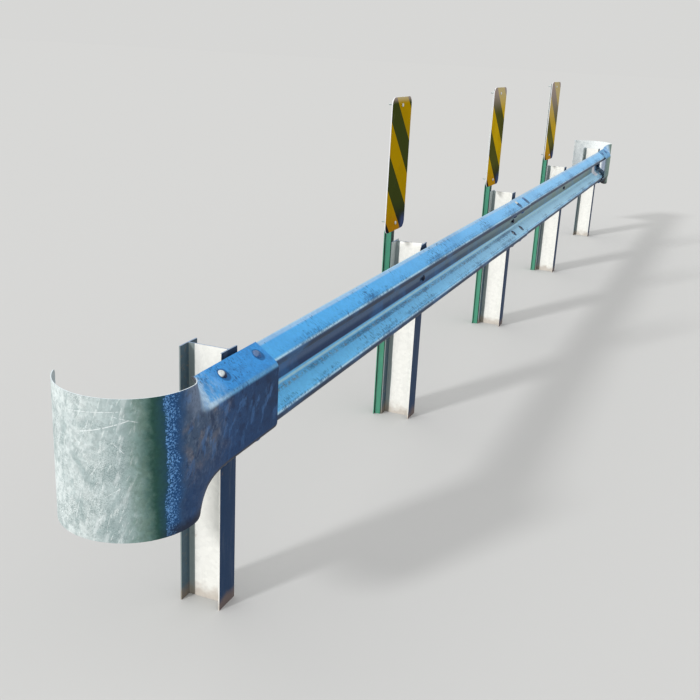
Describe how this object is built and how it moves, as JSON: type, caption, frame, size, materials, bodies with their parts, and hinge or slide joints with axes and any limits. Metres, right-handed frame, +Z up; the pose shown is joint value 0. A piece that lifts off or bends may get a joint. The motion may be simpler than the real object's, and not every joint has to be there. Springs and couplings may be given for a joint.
{
  "type": "highway guardrail section",
  "caption": "Roadside guardrail section: steel posts carry lapped corrugated rail panels, with flared curled end sections and striped hazard markers on channel posts behind.",
  "frame": {"origin": "centre of the middle post's foot, on its web at the ground line", "axes": "+X along the rail from the picture's near end to its far end, -Y towards the road, +Z up"},
  "size_m": [8.8, 0.4389, 1.585],
  "materials": {
    "post_steel": "weathered galvanised, pale on the web and grey-green on the flanges",
    "rail_steel": "galvanised sheet with fine dark flecks and a soft blue sheen",
    "end_steel": "galvanised sheet, mottled, streaked and lightly scratched",
    "bolt_steel": "dull galvanised",
    "marker_post_paint": "green enamel, worn at its edges",
    "marker_sheet": "faded yellow and dark diagonal stripes on sheet metal with a bare edge",
    "marker_bolt_zinc": "zinc plated"
  },
  "bodies": {
    "root": {"post_1": "post_steel", "post_2": "post_steel", "post_3": "post_steel", "post_4": "post_steel", "post_5": "post_steel", "post_bolt_1": "bolt_steel", "post_bolt_2": "bolt_steel", "post_bolt_3": "bolt_steel", "post_bolt_4": "bolt_steel", "post_bolt_5": "bolt_steel", "rail_near": "rail_steel", "rail_far": "rail_steel", "end_section_near": "end_steel", "end_section_far": "end_steel", "splice_bolts_top": "bolt_steel", "splice_bolts_upper_under": "bolt_steel", "splice_bolts_low": "bolt_steel", "end_bolts_near_top": "bolt_steel", "end_bolts_near_low": "bolt_steel", "end_bolts_far_top": "bolt_steel", "end_bolts_far_low": "bolt_steel", "marker_post_1": "marker_post_paint", "marker_post_2": "marker_post_paint", "marker_post_3": "marker_post_paint", "marker_panel_1": "marker_sheet", "marker_panel_2": "marker_sheet", "marker_panel_3": "marker_sheet", "marker_bolts_1": "marker_bolt_zinc", "marker_bolts_2": "marker_bolt_zinc", "marker_bolts_3": "marker_bolt_zinc"}
  },
  "joints": []
}
